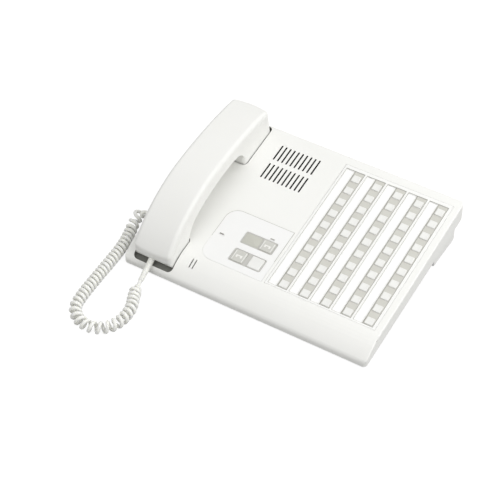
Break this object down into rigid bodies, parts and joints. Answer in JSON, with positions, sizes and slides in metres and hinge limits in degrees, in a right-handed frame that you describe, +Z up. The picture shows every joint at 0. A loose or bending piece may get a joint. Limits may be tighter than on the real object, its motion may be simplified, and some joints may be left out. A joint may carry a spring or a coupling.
{
  "type": "desk intercom",
  "caption": "Desk intercom master station: sloping housing on a rear leg, banks of call keys with name strips, control keys, speaker slots and a lift-off handset on a curly cord.",
  "frame": {"origin": "centre of the housing's footprint on the surface that it stands on", "axes": "+Z up, -Y towards the user, +X to the user's right; the handset lies at -X"},
  "size_m": [0.3311, 0.3376, 0.0913],
  "materials": {
    "white_abs": "satin moulded ABS, warm white",
    "frame_white": "satin moulded ABS, white",
    "handset_white": "smooth moulded ABS, warm white",
    "key_white": "fine matte moulding",
    "key_grey": "fine matte moulding",
    "band_grey": "printed matte grey",
    "plate_white": "satin printed plate",
    "card": "plain card",
    "clear": "clear polished acrylic",
    "smoked": "smoked polished acrylic",
    "lamp_red": "dark translucent red acrylic",
    "black_plastic": "fine matte moulding",
    "rubber_black": "matte rubber",
    "rubber_grey": "matte rubber",
    "cord_white": "soft vinyl, satin",
    "board_green": "solder mask over glass cloth",
    "steel": "zinc plated",
    "cloth_black": "woven speaker cloth",
    "paper_black": "pressed paper"
  },
  "bodies": {
    "base": {"upper_cover": "white_abs", "selector_frame": "frame_white", "selector_tray": "frame_white", "key_bands": "band_grey", "name_strips": "card", "strip_covers": "clear", "key_contact_sheet": "rubber_grey", "key_board": "board_green", "board_screws": "steel", "control_plate": "plate_white", "control_bezel": "key_grey", "display_window": "smoked", "display_module": "black_plastic", "lamp_lenses": "lamp_red", "lamp_diodes": "lamp_red", "control_board": "board_green", "control_board_screws": "steel", "control_key_pads": "rubber_grey", "speaker_cloth": "cloth_black", "speaker_basket": "steel", "speaker_cone": "paper_black", "microphone_boot": "rubber_black", "microphone": "steel", "base_plate": "white_abs", "case_screws": "steel", "line_connector": "steel", "rubber_feet": "rubber_black", "main_board": "board_green", "board_standoffs": "black_plastic", "board_parts": "black_plastic", "hook_switch": "black_plastic", "hook_bracket": "steel", "cord_socket": "black_plastic", "cord_plug": "cord_white", "coil_cord": "cord_white"},
    "handset": {"handset_upper_shell": "handset_white", "handset_lower_shell": "handset_white", "handset_screws": "steel", "receiver_capsule": "black_plastic", "transmitter_capsule": "black_plastic", "handset_cord_boot": "cord_white"},
    "hook_plunger": {"hook_plunger": "key_white"},
    "call_keys_1": {"call_keys_1": "key_white"},
    "call_keys_2": {"call_keys_2": "key_white"},
    "call_keys_3": {"call_keys_3": "key_white"},
    "call_keys_4": {"call_keys_4": "key_white"},
    "call_keys_5": {"call_keys_5": "key_white"},
    "talk_key": {"talk_key": "key_white"},
    "cancel_key": {"cancel_key": "key_grey"},
    "handset_key": {"handset_key": "key_grey"}
  },
  "joints": [
    {"name": "handset_lift", "type": "slide", "parent": "base", "child": "handset", "axis": [0, -0.1663, 0.9861], "range_m": [0, 0.12]},
    {"name": "hook_plunger_rise", "type": "slide", "parent": "base", "child": "hook_plunger", "axis": [0, -0.1663, 0.9861], "range_m": [0, 0.004]},
    {"name": "call_key_column_1_press", "type": "slide", "parent": "base", "child": "call_keys_1", "axis": [0, 0.1663, -0.9861], "range_m": [0, 0.0012], "stiffness_N_per_m": 200, "springref_m": -0.001},
    {"name": "call_key_column_2_press", "type": "slide", "parent": "base", "child": "call_keys_2", "axis": [0, 0.1663, -0.9861], "range_m": [0, 0.0012], "stiffness_N_per_m": 200, "springref_m": -0.001},
    {"name": "call_key_column_3_press", "type": "slide", "parent": "base", "child": "call_keys_3", "axis": [0, 0.1663, -0.9861], "range_m": [0, 0.0012], "stiffness_N_per_m": 200, "springref_m": -0.001},
    {"name": "call_key_column_4_press", "type": "slide", "parent": "base", "child": "call_keys_4", "axis": [0, 0.1663, -0.9861], "range_m": [0, 0.0012], "stiffness_N_per_m": 200, "springref_m": -0.001},
    {"name": "call_key_column_5_press", "type": "slide", "parent": "base", "child": "call_keys_5", "axis": [0, 0.1663, -0.9861], "range_m": [0, 0.0012], "stiffness_N_per_m": 200, "springref_m": -0.001},
    {"name": "talk_key_press", "type": "slide", "parent": "base", "child": "talk_key", "axis": [0, 0.1663, -0.9861], "range_m": [0, 0.0012], "stiffness_N_per_m": 120, "springref_m": -0.001},
    {"name": "cancel_key_press", "type": "slide", "parent": "base", "child": "cancel_key", "axis": [0, 0.1663, -0.9861], "range_m": [0, 0.0012], "stiffness_N_per_m": 120, "springref_m": -0.001},
    {"name": "handset_key_press", "type": "slide", "parent": "base", "child": "handset_key", "axis": [0, 0.1663, -0.9861], "range_m": [0, 0.0012], "stiffness_N_per_m": 120, "springref_m": -0.001}
  ],
  "couplings": [
    {"joint": "hook_plunger_rise", "follows": "handset_lift", "ratio": 0.033333}
  ]
}
